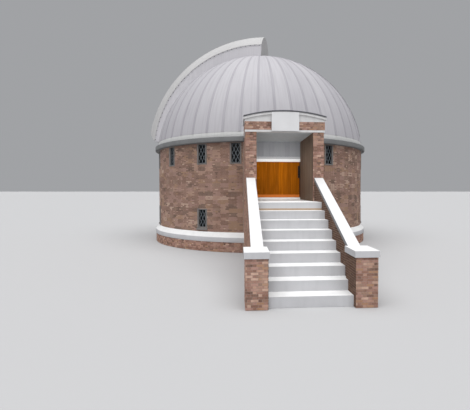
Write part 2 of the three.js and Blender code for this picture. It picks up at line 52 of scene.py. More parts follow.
# Sizes in metres. The origin is on the dome's axis at the ground, and the porch faces -Y.
# Azimuths are in degrees from -Y, growing towards +X. Elevations are about the dome's centre.
WALL_RADIUS = 7.41
WALL_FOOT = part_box("water_table")[1].z
WALL_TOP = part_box("wall_rear")[1].z
ROOM_RADIUS = WALL_RADIUS - 0.42  # inside it the wall is plastered
PLINTH_RADIUS = 7.628
PLINTH_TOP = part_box("plinth")[1].z
DRUM_FACE = (17.9, 348.8)  # azimuths of the porch's right and left sides on the drum
WATER_TABLE = Sizes(arris=0.012, shoulder=0.81, roll=0.09, slope=((0.075, 0.02), (0.055, 0.004)))
CORNICE = Sizes(inner=7.3, foot=0.05, top=0.035, steps=(8, 5))
RING_SEGMENTS = 240
CREASE = Sizes(sheet=30, ring=35, small=50)  # degrees past which an edge stays sharp

WINDOW_WIDTH = 0.6
UPPER_WINDOW = (5.035, 6.19)
LOWER_WINDOW = (1.34, 2.395)
UPPER_AZIMUTHS = (29.7, 73, 94, 115, 136, 157, 178, 203, 224, 245, 266, 287, 308, 329, 345.5)
LOWER_AZIMUTHS = (29.7, 73, 115, 157, 203, 245, 287, 329)
# Bed, back and proud are distances out of the wall's face: under the lap, indoors and in front.
WINDOW_FRAME = Sizes(side=0.06, foot=0.03, lap=0.036, bed=-0.012, back=-0.16, proud=0.02,
                     gap=0.001, arris=0.006, splay=(0.02, 0.01, 0.03))
PANE = Sizes(radius=7.335, thickness=0.006, lap=0.01)
LATTICE = Sizes(across=0.21, up=0.42, width=0.03, depth=0.01, over=0.001)
SILL = Sizes(height=0.13, half=0.37)
SILL_OUTLINE = ((-0.03, 0), (0.04, 0), (0.048, 0.012), (0.07, 0.012), (0.07, 0.085), (0.062, 0.098),
                (-0.03, SILL.height))  # out of the wall's face, and up from the sill's foot

DOME_RADIUS = 7.519
DOME_CENTRE = 5.671
DOME_THICKNESS = 0.06
DOME_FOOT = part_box("dome_shell")[0].z
SEAMS = 46
FIRST_SEAM = -4.8  # azimuth of the seam nearest the porch
SEAM_AZIMUTHS = [FIRST_SEAM + 360 * i / SEAMS for i in range(SEAMS)]
SHELL_ROWS, SHELL_SEGMENTS = 32, 4 * SEAMS
SEAM = Sizes(top=86.5, step=1.2, least=0.22)
SEAM_SECTION = ((-0.085, -0.01), (0.085, -0.01), (0.085, 0.0063), (0.0527, 0.014), (-0.0527, 0.014),
                (-0.085, 0.0063))  # along the drum, and out of the shell
SKIRT = Sizes(inner=7.38, foot=0.008, top=0.014, steps=(2, 3))
STRAP = Sizes(half=0.03, sunk=0.004, thickness=0.012, foot=0.02, head=0.03)

SHUTTER_AZIMUTH = -102
SLIT_HALF = 1.8
SLIT_SILL = 7.11
SLIT_PAST_ZENITH = 0.1
SHUTTER_PATH_HALF = 2.17  # half the width that the shutter sweeps over the shell
# The hood's arch stands higher than the dome's by its lift. Its lower end rakes back to the crown.
HOOD = Sizes(lift=0.43, first=7.5, crown_first=14, last=93, half=2.13, edge=7.6, crown=8.73,
             steps=96)
HOOD_SKIN = Sizes(drop=0.024, thickness=0.028, arris=0.01, stations=16)
HOOD_RIB = Sizes(at=(-0.9, 0.0, 0.9), trim=0.2)
HOOD_RIB_SECTION = ((-0.03, -0.01), (-0.03, 0.01), (-0.015, 0.02), (0.015, 0.02), (0.03, 0.01),
                    (0.03, -0.01))  # along the arch's width, and out of the skin
CHEEK = Sizes(inner=2.05, outer=2.1, foot=7.245, gap=0.002, strap=0.11, strap_thickness=0.009)
SHOE = Sizes(bottom=7.33, top=7.45, inner=1.8004, outer=2.06, arc=3, at=(14, 38, 62, 86))
# A bolt head's rings are shares of its radius, and distances out of the strap.
BOLT = Sizes(pitch=0.33, radius=0.03, sides=8, clear=1,
             rings=((1, -0.002), (1, 0.008), (0.6, 0.015)))

BRICK = Sizes(stretcher=0.22, header=0.11, course=0.08, joint=0.01)
BRICK_FACE = Sizes(proud=0.006, uneven=0.0015, sunk=0.012, arris=0.004)
LEAST_BRICK = (0.035, 0.025)  # width and height below which a cut brick is left out
BATCH = (0.48, 0.24)  # width and height of the wall laid from one batch
SEAT = 0.004  # gap between bricks or boards and what they stand against

PORCH_X = 0.42  # the porch's middle line
COPING_THICKNESS = 0.14
ROOF = Sizes(eaves=6.895, sheet=0.062, thickness=0.158, overhang=0.02, steps=40)
ROOF_RIB = Sizes(count=5, end=0.3, width=0.03, height=0.022, sunk=0.01)
CHAMFER = 0.008
LINING = Sizes(count=24, thickness=0.01, gap=0.004)
PLANKS = Sizes(count=11, edge=0.003, leaf=0.06, front=0.01, back=0.007, gap=0.014)
TRANSOM = Sizes(count=9, edge=0.002, depth=0.018, gap=0.02)
LEDGE = Sizes(at=(3.35, 4.05, 4.75), height=0.16, depth=0.03, end=0.08, sunk=0.005)


# Placing
def on_drum(azimuth, radius, z):
    angle = radians(azimuth)
    return Vector((radius * sin(angle), -radius * cos(angle), z))


def on_dome(azimuth, elevation, radius=DOME_RADIUS):
    e = radians(elevation)
    return on_drum(azimuth, radius * cos(e), DOME_CENTRE + radius * sin(e))


def dome_elevation(z, radius=DOME_RADIUS):
    """Elevation at which a sphere about the dome's centre passes a height."""
    return degrees(asin((z - DOME_CENTRE) / radius))


def drum_axes(azimuth):
    """Unit vectors along the wall, up, and out of the wall at an azimuth."""
    out = on_drum(azimuth, 1, 0)
    return Vector((-out.y, out.x, 0)), UP, out


SLIT_TOWARDS = on_drum(SHUTTER_AZIMUTH, 1, 0)
SLIT_SIDEWAYS = Vector((SLIT_TOWARDS.y, -SLIT_TOWARDS.x, 0))


def on_slit(radius, elevation, across):
    """A point of the shutter's turning frame. Elevation grows from the slit's sill to the top."""
    e = radians(elevation)
    spoke = cos(e) * SLIT_TOWARDS + sin(e) * UP
    return Vector((0, 0, DOME_CENTRE)) + radius * spoke + across * SLIT_SIDEWAYS


def edges(x, y, z):
    """The three edges of a box that stands square to the axes."""
    return Vector((x, 0, 0)), Vector((0, y, 0)), Vector((0, 0, z))


# Mesh building
class Shape:
    """The corners and faces of one piece, with a tone from 0 to 1 for each face."""

    def __init__(self):
        self.points, self.faces, self.tones = [], [], []

    def add(self, points, faces, tone=0.5):
        first = len(self.points)
        self.points.extend(points)
        self.faces.extend([first + i for i in face] for face in faces)
        self.tones.extend([tone] * len(faces))

    def box(self, corner, edges, tone=0.5):
        """A box from one corner and its three edges, given right-handed."""
        a, b, c = edges
        low = [corner, corner + a, corner + a + b, corner + b]
        sides = [(i, (i + 1) % 4, (i + 1) % 4 + 4, i + 4) for i in range(4)]
        self.add(low + [p + c for p in low], [(3, 2, 1, 0), (4, 5, 6, 7)] + sides, tone)

    def loops(self, rows, closed=False, tone=0.5):
        """Skins rows of points, each row a closed loop. Closed joins the last row to the first."""
        count = len(rows[0])
        faces = []
        for r in range(len(rows) if closed else len(rows) - 1):
            after = (r + 1) % len(rows)
            for i in range(count):
                j = (i + 1) % count
                faces.append((r * count + i, r * count + j, after * count + j, after * count + i))
        if not closed:
            last = (len(rows) - 1) * count
            faces += [range(count)[::-1], range(last, last + count)]
        self.add([p for row in rows for p in row], faces, tone)


def solid(rows, closed=False):
    shape = Shape()
    shape.loops(rows, closed)
    return shape


def turned(profile):
    """A full ring about the dome's axis from a closed outline of (radius, z), counter-clockwise."""
    turns = [360 * s / RING_SEGMENTS for s in range(RING_SEGMENTS)]
    return solid([[on_drum(azimuth, r, z) for r, z in profile] for azimuth in turns], True)


def arc(centre, radius, start, end, steps):
    """Points of (radius, z) round a corner, from one angle to another in degrees."""
    angles = [radians(start + (end - start) * i / steps) for i in range(steps + 1)]
    return [(centre[0] + radius * cos(a), centre[1] + radius * sin(a)) for a in angles]


def put(name, data):
    """Adds an object with this data, or with the mesh of a shape, to the scene."""
    if isinstance(data, Shape):
        shape, data = data, bpy.data.meshes.new(name)
        data.from_pydata(shape.points, [], shape.faces)
    made = bpy.data.objects.new(name, data)
    bpy.context.scene.collection.objects.link(made)
    return made


def settle(made, **settings):
    """Sets the attributes of something just made."""
    for key, value in settings.items():
        setattr(made, key, value)
    return made


def soften(mesh, angle):
    """Shades a mesh smooth, but for the edges past an angle in degrees."""
    mesh.shade_smooth()
    mesh.set_sharp_from_angle(angle=radians(angle))


def piece(name, shape, material, smooth=None, replaces=(), body="building"):
    made = put(name, shape)
    made.data.attributes.new("tone", "FLOAT", "FACE").data.foreach_set("value", shape.tones)
    if smooth:
        soften(made.data, smooth)
    made.data.materials.append(material)
    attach(made, body)
    if replaces:
        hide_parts(*replaces)
    return made


def bevel(name, width, segments):
    """Rounds the edges of a CAD node where it stands."""
    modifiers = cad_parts[name].modifiers
    settle(modifiers.new("flat", "DECIMATE"), decimate_type="DISSOLVE", angle_limit=radians(1))
    settle(modifiers.new("edge", "BEVEL"), width=width, segments=segments, limit_method="ANGLE",
           angle_limit=radians(40), harden_normals=True)


# Materials
def linear(code):
    """Scene colour of a screen colour such as '8A6A5C'."""
    parts = [int(code[i:i + 2], 16) / 255 for i in (0, 2, 4)]
    return tuple(c / 12.92 if c <= 0.04045 else ((c + 0.055) / 1.055) ** 2.4 for c in parts) + (1,)


class Finish:
    """A material and short ways to add nodes to it."""

    def __init__(self, name, roughness, metallic=0.0, specular=0.4):
        self.material = bpy.data.materials.new(name)
        self.material.use_nodes = True
        self.tree = self.material.node_tree
        self.shader = self.tree.nodes["Principled BSDF"]
        self.feed(self.shader, {"Roughness": roughness, "Metallic": metallic,
                                "Specular IOR Level": specular})
        self.place = self.node("ShaderNodeTexCoord").outputs["Object"]

    def feed(self, node, inputs):
        """Links a node's inputs to sockets, or sets them to numbers, vectors or screen colours."""
        for key, value in inputs.items():
            if isinstance(value, bpy.types.NodeSocket):
                self.tree.links.new(value, node.inputs[key])
            else:
                node.inputs[key].default_value = linear(value) if isinstance(value, str) else value

    def node(self, kind, inputs=None, **settings):
        made = settle(self.tree.nodes.new(kind), **settings)
        self.feed(made, inputs or {})
        return made

    def noise(self, scale, detail, stretch=(1, 1, 1), where=None):
        if where is None:
            inputs = {"Vector": self.place, "Scale": stretch}
            where = self.node("ShaderNodeMapping", inputs).outputs[0]
        inputs = {"Vector": where, "Scale": scale, "Detail": detail}
        return self.node("ShaderNodeTexNoise", inputs).outputs["Fac"]

    def tone(self):
        return self.node("ShaderNodeAttribute", attribute_name="tone").outputs["Fac"]

    def ramp(self, factor, stops, stepped=False):
        made = self.node("ShaderNodeValToRGB", {"Fac": factor})
        made.color_ramp.interpolation = "CONSTANT" if stepped else "LINEAR"
        elements = made.color_ramp.elements
        while len(elements) < len(stops):
            elements.new(0.5)
        for element, (position, code) in zip(elements, stops):
            element.position = position
            element.color = linear(code)
        return made.outputs["Color"]

    def span(self, factor, low=0, high=1, start=0.3, end=0.7):
        """Maps a value to a range. Most of a noise lies between 0.3 and 0.7."""
        made = self.node("ShaderNodeMapRange", {"Value": factor, "From Min": start, "From Max": end,
                                                "To Min": low, "To Max": high})
        return made.outputs["Result"]

    def mix(self, factor, a, b, blend="MIX"):
        """Mixes colours. Input 0 is the factor, and 6 and 7 are the colours."""
        return self.node("ShaderNodeMix", {0: factor, 6: a, 7: b}, data_type="RGBA",
                         blend_type=blend).outputs[2]

    def math(self, operation, *values):
        return self.node("ShaderNodeMath", dict(enumerate(values)), operation=operation).outputs[0]

    def apart(self, vector):
        """The X, Y and Z of a vector."""
        return self.node("ShaderNodeSeparateXYZ", {0: vector}).outputs

    def done(self, colour, roughness, height, distance, strength):
        """Feeds the shader, with a bump as well, and hands over the material."""
        inputs = {"Height": height, "Distance": distance, "Strength": strength}
        bump = self.node("ShaderNodeBump", inputs).outputs[0]
        self.feed(self.shader, {"Base Color": colour, "Roughness": roughness, "Normal": bump})
        return self.material


def brick_finish(name, patchy, even=0.0, shade=None):
    """Brown-pink bricks, each its own colour, with a sandy face. Patchy is how far the wall's paler
    and darker patches show, even how near all bricks are to one colour. Shade tints them darker;
    for the inner bricks that tint is painted shade."""
    f = Finish(name, 0.9, specular=0.2)
    body = f.ramp(f.tone(), [
        (0.0, "5A4034"), (0.06, "7A5648"), (0.18, "926C5E"), (0.33, "A47E72"), (0.47, "8A6455"),
        (0.6, "A07A5E"), (0.71, "B08A77"), (0.82, "C2A18F"), (0.9, "8E705F"), (0.95, "6A4E42")],
        stepped=True)
    body = f.mix(even, body, "8F6E60")
    sand = f.noise(38, 6)
    clouds = f.noise(1.3, 3)
    body = f.mix(f.span(sand, 0, 0.3), body, "BCA49A")
    patches = f.noise(3.1, 2)
    body = f.mix(f.span(patches, 0, patchy, 0.5), body, "B49684")
    body = f.mix(f.span(patches, patchy * 0.9, 0, end=0.48), body, "7E5A4C")
    body = f.mix(f.span(clouds, 0, 0.22), body, "8C7A70", "MULTIPLY")
    if shade:
        body = f.mix(1, body, shade, "MULTIPLY")
    return f.done(body, f.span(sand, 0.82, 0.97), sand, 0.004, 0.6)


def mortar_finish():
    """Lime mortar outside, and cream plaster on the room side of the drum."""
    roughness = 0.95
    f = Finish("mortar", roughness, specular=0.15)
    grit = f.noise(60, 4)
    clouds = f.noise(0.9, 4)
    mortar = f.mix(f.span(grit), "907E72", "A69286")
    mortar = f.mix(f.span(clouds, 0, 0.4), mortar, "826E62")
    plaster = f.mix(f.span(clouds), "C9C2B4", "D6D0C4")
    flat = f.node("ShaderNodeVectorMath", {0: f.place, 1: (1, 1, 0)}, operation="MULTIPLY")
    reach = f.node("ShaderNodeVectorMath", {0: flat.outputs[0]}, operation="LENGTH")
    inside = f.math("LESS_THAN", reach.outputs["Value"], ROOM_RADIUS)
    return f.done(f.mix(inside, mortar, plaster), roughness, grit, 0.003, 0.5)


def stone_finish(name, pale, worn, dark, roughness=0.7, upright=None):
    """Painted stone or cement: soft clouds, rain streaks and fine pits. Upright faces can get
    painted shade: a darker tint, as if lit less than the tops."""
    f = Finish(name, roughness, specular=0.3)
    clouds = f.noise(1.7, 5)
    streaks = f.noise(3.0, 4, stretch=(2.2, 2.2, 0.18))
    pits = f.noise(55, 5)
    body = f.mix(f.span(clouds), pale, worn)
    body = f.mix(f.span(streaks, 0, 0.22, 0.5, 0.75), body, dark)
    # painted shade: faces near upright take the darker upright tint, as if lit less than the tops
    if upright:
        facing = f.apart(f.node("ShaderNodeNewGeometry").outputs["Normal"])
        painted_shade_body = f.mix(1, body, upright, "MULTIPLY")
        body = f.mix(f.span(facing["Z"], 1, 0, 0.15, 0.45), body, painted_shade_body)
    return f.done(body, f.span(clouds, roughness - 0.08, roughness + 0.12), pits, 0.002, 0.4)


def sheet_finish(name, pale, worn, dark):
    """Painted sheet metal in gores, each a little lighter or darker, with faint rain streaks."""
    f = Finish(name, 0.62, specular=0.3)
    axes = f.apart(f.place)
    turn = f.math("ARCTAN2", axes["X"], f.math("MULTIPLY", axes["Y"], -1.0))
    gore = f.math("MULTIPLY", f.math("SUBTRACT", turn, radians(FIRST_SEAM)), SEAMS / tau)
    chance = f.node("ShaderNodeTexWhiteNoise", {"W": f.math("FLOOR", gore)}, noise_dimensions="1D")
    rain = f.node("ShaderNodeCombineXYZ", {"X": f.math("MULTIPLY", turn, 60.0),
                                           "Y": f.math("MULTIPLY", axes["Z"], 0.55)})
    streaks = f.noise(1.0, 4, where=rain.outputs[0])
    clouds = f.noise(0.7, 4)
    body = f.mix(f.span(chance.outputs["Value"], 0, 0.8, 0, 1), pale, worn)
    body = f.mix(f.span(streaks, 0, 0.3, 0.45, 0.75), body, dark)
    body = f.mix(f.span(clouds, 0, 0.2), body, worn)
    return f.done(body, f.span(streaks, 0.56, 0.76), f.noise(3.2, 3), 0.006, 0.35)


def board_finish(name, pale, dark, grain_scale, roughness=0.55, between=1.0):
    """Boards with their own tone and a grain that runs up them. Between is how far they differ."""
    f = Finish(name, roughness, specular=0.12)
    grain = f.noise(grain_scale, 6, stretch=(1, 1, 0.07))
    knots = f.noise(2.1, 2, stretch=(1, 1, 0.35))
    body = f.mix(f.span(f.tone(), 0, between, 0, 1), pale, dark)
    body = f.mix(f.span(grain, 0, 0.55), body, dark)
    body = f.mix(f.span(knots, 0, 0.25), body, pale)
    return f.done(body, f.span(grain, roughness - 0.1, roughness + 0.15), grain, 0.002, 0.5)


def metal_finish(name, pale, dark, roughness, metallic):
    """Worn metal, brighter where it has been rubbed."""
    f = Finish(name, roughness, metallic)
    rubbed = f.noise(7, 5)
    body = f.mix(f.span(rubbed), dark, pale)
    rough = f.span(rubbed, roughness - 0.1, roughness + 0.1)
    return f.done(body, rough, f.noise(45, 3), 0.0015, 0.3)


def glass_finish():
    """Near-black leaded glass, a little uneven from pane to pane. The near black is painted
    shade of the dark room behind it.
    """
    f = Finish("leaded_glass", 0.25, specular=0.1)
    ripple = f.noise(5, 2)
    # painted shade: near-black opaque panes stand in for the dark room behind the glass
    glass = f.ramp(f.tone(), [(0.0, "020303"), (0.5, "05080A"), (1.0, "0B1012")])
    return f.done(glass, f.span(ripple, 0.15, 0.3), ripple, 0.004, 0.5)


BRICKS = brick_finish("brick", 0.45)
DRUM_BRICKS = brick_finish("drum_brick", 0.12, even=0.2, shade="F5FDFE")
# painted shade: a darker copy of the bricks for the inner sides of the flanks and pedestals
INNER_BRICKS_PAINTED_SHADE = brick_finish("inner_brick_painted_shade", 0.3, even=0.5, shade="A8A49C")
MORTAR = mortar_finish()
WHITE = stone_finish("white_stone", "CCCBCB", "C3C2C2", "AEACAA")
# painted shade: the upright tint darkens the risers, the cap fronts and the water table's face
STEP_WHITE = stone_finish("step_white", "D8D8D8", "D0D0D0", "BCBCBC", upright="DCDCDF")
# painted light: a paler copy of the step stone for the landing, under the porch roof's shade; its
# upright tint is painted shade on the front
LANDING_PAINTED_LIGHT_AND_SHADE = stone_finish("landing_painted_light_and_shade", "F4F4F3", "EEEEED", "DEDDDC", upright="C8C8CB")
PLAQUE_WHITE = stone_finish("plaque_white", "D0D0D1", "CBCBCC", "C3C3C4")
# painted shade: the copings' upright tint makes their sides much darker than their tops
COPING_WHITE = stone_finish("coping_white", "CECECE", "C8C8C8", "B6B6B6", upright="A2A2A5")
SILL_GREY = stone_finish("sill_grey", "B4B4B7", "AEAEB1", "A2A2A5")
# painted light: a paler white for the lintel and threshold, making up for the porch's shade
LINTEL_PAINTED_LIGHT_WHITE = stone_finish("lintel_painted_light_white", "F4F4F3", "EEEEED", "DEDDDC")
GREY = stone_finish("grey_cement", "727374", "686969", "58595B")
CONCRETE = stone_finish("concrete", "A8A7A2", "98978F", "84837C", 0.85)
WINDOW_GREY = stone_finish("window_surround", "787472", "6C6967", "5C5956")
TAN = stone_finish("tan_render", "B09A84", "A48E78", "8E7A68")
DOME_PAINT = sheet_finish("dome_paint", "A8A6AA", "9E9CA1", "88868A")
CHEEK_PAINT = sheet_finish("cheek_paint", "BDBBBF", "B4B2B6", "9F9DA1")
# painted shade: the battens' darker grey stands in for the shade along the seams
SEAM_PAINTED_SHADE = sheet_finish("seam_painted_shade", "9A989D", "929095", "848287")
HOOD_PAINT = sheet_finish("hood_paint", "ADACAC", "A6A5A5", "969595")
SKIRT_PAINT = sheet_finish("skirt_paint", "C5C5C4", "BEBEBD", "ACACAC")
ROOF_DARK = metal_finish("roof_sheet", "5C5C60", "4A4A4E", 0.5, 0.3)
STEEL = metal_finish("steel", "9A9CA0", "74767A", 0.4, 0.9)
BRONZE = metal_finish("dark_bronze", "3A3534", "242020", 0.42, 0.7)
BOLT_METAL = metal_finish("bolt_metal", "5A5A60", "46464C", 0.5, 0.6)
LEAD = metal_finish("lead_strip", "646B70", "51575C", 0.6, 0.2)
GLASS = glass_finish()
GREY_BOARDS = board_finish("grey_boards", "96979A", "8C8D91", 6.0, 0.6)
# painted light: a paler copy of the grey boards for the ceiling, making up for the porch's shade
CEILING_BOARDS_PAINTED_LIGHT = board_finish("ceiling_boards_painted_light", "BCC4C8", "ACB4B8", 6.0, 0.6)
PLANK_WOOD = board_finish("plank_wood", "B06200", "542A00", 15.0, between=0.5)
LINING_WOOD = board_finish("lining_wood", "82705F", "6A594E", 5.0, 0.7)
KICK_PAINT = board_finish("kick_paint", "D67B37", "CA6F2E", 5.0, 0.5)


# Brickwork
def cut_rectangle(rectangle, hole):
    """What is left of (s0, s1, z0, z1) around a hole of the same form."""
    s0, s1, z0, z1 = rectangle
    a, b, c, d = max(s0, hole[0]), min(s1, hole[1]), max(z0, hole[2]), min(z1, hole[3])
    if a >= b or c >= d:
        return [rectangle]
    return [(s0, a, z0, z1), (b, s1, z0, z1), (a, b, z0, c), (a, b, d, z1)]


def clip(polygon, line):
    """Keeps the part of a polygon where a*s + b*z <= c."""
    a, b, c = line
    kept = []
    for (s0, z0), (s1, z1) in zip(polygon, polygon[1:] + polygon[:1]):
        side0, side1 = a * s0 + b * z0 - c, a * s1 + b * z1 - c
        if side0 <= 0:
            kept.append((s0, z0))
        if side0 * side1 < 0:
            t = side0 / (side0 - side1)
            kept.append((s0 + t * (s1 - s0), z0 + t * (z1 - z0)))
    return kept


def inset(polygon, distance):
    """Moves each side of a convex, counter-clockwise polygon inwards."""
    moved = []
    befores, afters = polygon[-1:] + polygon[:-1], polygon[1:] + polygon[:1]
    for before, point, after in zip(befores, polygon, afters):
        p, q, r = Vector(before), Vector(point), Vector(after)
        u, v = (q - p).normalized(), (r - q).normalized()
        bisector = Vector((-u.y - v.y, u.x + v.x))
        share = max(bisector.length_squared / 2, 0.25)  # keeps a sharp corner's point near it
        moved.append(tuple(q + bisector * (distance / share)))
    return moved


def add_brick(shape, place, polygon, tone, rng):
    """One brick: sides up from the mortar, a worn arris, and the face."""
    uneven = BRICK_FACE.uneven
    proud = BRICK_FACE.proud + rng.uniform(-uneven, uneven)
    arris = BRICK_FACE.arris
    face = inset(polygon, arris)
    rings = [(polygon, -BRICK_FACE.sunk), (polygon, proud - arris), (face, proud)]
    points = [place(s, z, out) for outline, out in rings for s, z in outline]
    n = len(polygon)
    faces = [tuple(range(2 * n, 3 * n))]
    for low, high in ((0, n), (n, 2 * n)):
        faces += [(low + i, low + (i + 1) % n, high + (i + 1) % n, high + i) for i in range(n)]
    shape.add(points, faces, tone)


def flemish_course(along, shifted):
    """Starts and ends of a course's bricks: a stretcher and a header by turns."""
    pair = BRICK.stretcher + BRICK.header
    start = along[0] - (pair / 2 if shifted else 0)
    for i in range(ceil((along[1] - start) / pair)):
        joint = start + i * pair + BRICK.stretcher
        for a, b in ((start + i * pair, joint), (joint, start + (i + 1) * pair)):
            a, b = max(along[0], a), min(along[1], b)
            if b - a > LEAST_BRICK[0]:
                yield a, b


def lay_bricks(shape, place, along, up, seed, holes=(), lines=(), batches=0.0):
    """Fills a strip of wall with Flemish bond, less its holes and what is past its lines. Batches
    is the share of bricks that have the tone of their batch."""
    rng = random.Random(seed)
    batch_tones = {}
    joint = BRICK.joint / 2
    rows = max(1, round((up[1] - up[0]) / BRICK.course))
    height = (up[1] - up[0]) / rows
    for row in range(rows):
        z0 = up[0] + row * height
        for s0, s1 in flemish_course(along, row % 2):
            batch = (s0 // BATCH[0], z0 // BATCH[1])
            tone = rng.random()
            if rng.random() < batches:
                tone = batch_tones.setdefault(batch, tone)
            left = [(s0 + joint, s1 - joint, z0 + joint, z0 + height - joint)]
            for hole in holes:
                left = [part for whole in left for part in cut_rectangle(whole, hole)]
            for a, b, c, d in left:
                polygon = [(a, c), (b, c), (b, d), (a, d)]
                for line in lines:
                    polygon = clip(polygon, line)
                if len(polygon) > 2 and big_enough(polygon):
                    add_brick(shape, place, polygon, tone, rng)


def big_enough(polygon):
    return all(max(ends) - min(ends) > least for ends, least in zip(zip(*polygon), LEAST_BRICK))


def round_wall(radius):
    """Places brickwork on a round wall, with s the length of arc from azimuth 0."""
    return lambda s, z, out: on_drum(degrees(s / radius), radius + out, z)


def flat_wall(corner, out):
    """Places brickwork on an upright flat wall, from its left corner as seen from outside."""
    origin, outward = Vector((*corner, 0)), Vector((*out, 0))
    along = Vector((-outward.y, outward.x, 0))
    return lambda s, z, proud: origin + along * s + outward * proud + UP * z


def arc_length(azimuth, radius=WALL_RADIUS):
    return radians(azimuth) * radius


def window_holes():
    """The windows' places on the unrolled drum, with the sills under the lower ones."""
    lap = WINDOW_FRAME.lap
    margin = lap + SEAT
    half = WINDOW_WIDTH / 2 + margin
    bottom, top = UPPER_WINDOW
    holes = [(s - half, s + half, bottom - margin, top) for s in map(arc_length, UPPER_AZIMUTHS)]
    bottom, top = LOWER_WINDOW
    for s in map(arc_length, LOWER_AZIMUTHS):
        holes.append((s - half, s + half, bottom - margin, top + margin))
        holes.append((s - SILL.half, s + SILL.half, bottom - lap - SILL.height, bottom - lap))
    return holes


def brick_piece(name, shape, finish=BRICKS):
    piece(name, shape, finish)


def drum_brickwork():
    first, last = DRUM_FACE
    for name, start, end, seed in (("right", first, 180, 11), ("left", 180, last, 12)):
        shape = Shape()
        lay_bricks(shape, round_wall(WALL_RADIUS), (arc_length(start), arc_length(end)),
                   (WALL_FOOT + SEAT, WALL_TOP), seed, window_holes(), batches=0.8)
        brick_piece(f"drum_bricks_{name}", shape, DRUM_BRICKS)
    shape = Shape()
    reach = [arc_length(azimuth, PLINTH_RADIUS) for azimuth in DRUM_FACE]
    lay_bricks(shape, round_wall(PLINTH_RADIUS), reach, (SEAT, PLINTH_TOP), seed=21)
    brick_piece("plinth_bricks", shape)


def box_brickwork(shape, node, sides, seed, holes=(), lines=None, end=None):
    """Lays bricks on the named sides of an upright CAD block. Side names are the outward axes.
    Bricks on X sides may stop at an end short of the block's own at +Y."""
    lo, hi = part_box(node)
    back = hi.y if end is None else end
    corners = {"-X": (lo.x, back), "+X": (hi.x, lo.y), "-Y": (lo.x, lo.y), "+Y": (hi.x, back)}
    shape = shape or Shape()
    reach = BRICK_FACE.proud
    for number, side in enumerate(sides):
        sign = 1 if side[0] == "+" else -1
        out, length = ((sign, 0), back - lo.y) if side[1] == "X" else ((0, sign), hi.x - lo.x)
        along = (-reach, length + reach)
        lay_bricks(shape, flat_wall(corners[side], out), along, (lo.z + SEAT, hi.z),
                   seed + number, holes, (lines or {}).get(side, ()))
    return shape


def porch_brickwork():
    for name, outer in (("left", "-X"), ("right", "+X")):
        node = f"porch_wall_{name}"
        lo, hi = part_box(node)
        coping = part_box(f"coping_{name}")
        drum = -sqrt(WALL_RADIUS ** 2 - max(abs(lo.x), abs(hi.x)) ** 2)
        shape = box_brickwork(None, node, (outer,), 31, end=drum)
        behind = (coping[0].x - lo.x, coping[1].x - lo.x, 0, coping[1].z + 0.002)
        box_brickwork(shape, node, ("-Y",), 51, holes=(behind,))
        brick_piece(f"porch_bricks_{name}", shape)
    shape = box_brickwork(None, "entablature", ("-Y", "-X", "+X", "+Y"), 61)
    brick_piece("entablature_bricks", shape)


def steps_brickwork():
    """The sloping flank walls and the pedestals. Their inner sides are darker: painted shade."""
    for number, (name, outer, inner) in enumerate((("left", "-X", "+X"), ("right", "+X", "-X"))):
        lo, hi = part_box(f"flank_{name}")
        coping_lo, coping_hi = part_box(f"coping_{name}")
        foot, length = coping_lo.z, coping_hi.y - coping_lo.y
        slope = (coping_hi.z - foot) / length
        drop = COPING_THICKNESS * hypot(1, slope)
        fall = (coping_hi.z - foot - drop) / length
        lines = {
            "-X": ((fall, 1, foot + fall * (hi.y - coping_lo.y)),),
            "+X": ((-fall, 1, foot + fall * (lo.y - coping_lo.y)),),
        }
        sides = (("outer", outer, BRICKS), ("inner", inner, INNER_BRICKS_PAINTED_SHADE))
        for part, side, finish in sides:
            seed = 71 + 10 * number + 5 * (side == "+X")
            shape = box_brickwork(None, f"flank_{name}", (side,), seed, lines=lines)
            brick_piece(f"flank_bricks_{name}_{part}", shape, finish)
        for part, side, finish in sides:
            ends, seed = (("-Y", "+Y"), 91) if part == "outer" else ((), 96)
            shape = box_brickwork(None, f"pedestal_{name}", (side, *ends), seed + 10 * number)
            brick_piece(f"pedestal_bricks_{name}_{part}", shape, finish)


# Windows
def clipped_bar(a, b, half_width, half_height):
    """The ends of the part of a line between two points that is inside a pane, if any is."""
    t0, t1 = 0.0, 1.0
    for start, delta, limit in ((a[0], b[0] - a[0], half_width), (a[1], b[1] - a[1], half_height)):
        near, far = (-limit - start) / delta, (limit - start) / delta
        t0, t1 = max(t0, min(near, far)), min(t1, max(near, far))
    if t1 - t0 < 0.01:
        return ()
    return [(a[0] + t * (b[0] - a[0]), a[1] + t * (b[1] - a[1])) for t in (t0, t1)]


def add_lattice(shape, centre, axes, half_width, half_height):
    """Lead strips both ways across a window. Those of one way stand a little over the others."""
    along, up, out = axes
    rise = LATTICE.up
    slope = rise / LATTICE.across
    count = ceil((half_height + slope * half_width) / rise)
    for lean in (-1, 1):
        depth = LATTICE.depth + LATTICE.over * lean
        for i in range(-count, count + 1):
            a = (-half_width, i * rise - lean * slope * half_width)
            b = (half_width, i * rise + lean * slope * half_width)
            bar = clipped_bar(a, b, half_width, half_height)
            if bar:
                start, end = (centre + along * s + up * z for s, z in bar)
                run = end - start
                side = out.cross(run).normalized() * LATTICE.width
                shape.box(start - side / 2, (run, side, out * depth))


def add_panes(shape, centre, axes, half_width, half_height, rng):
    """The glass behind the lattice, in bands of its own tone."""
    along, up, out = axes
    bands = max(1, round(2 * half_height / LATTICE.up))
    step = 2 * half_height / bands
    for i in range(bands):
        corner = centre - along * half_width + up * (i * step - half_height)
        shape.box(corner, (along * 2 * half_width, up * step, out * PANE.thickness), rng.random())


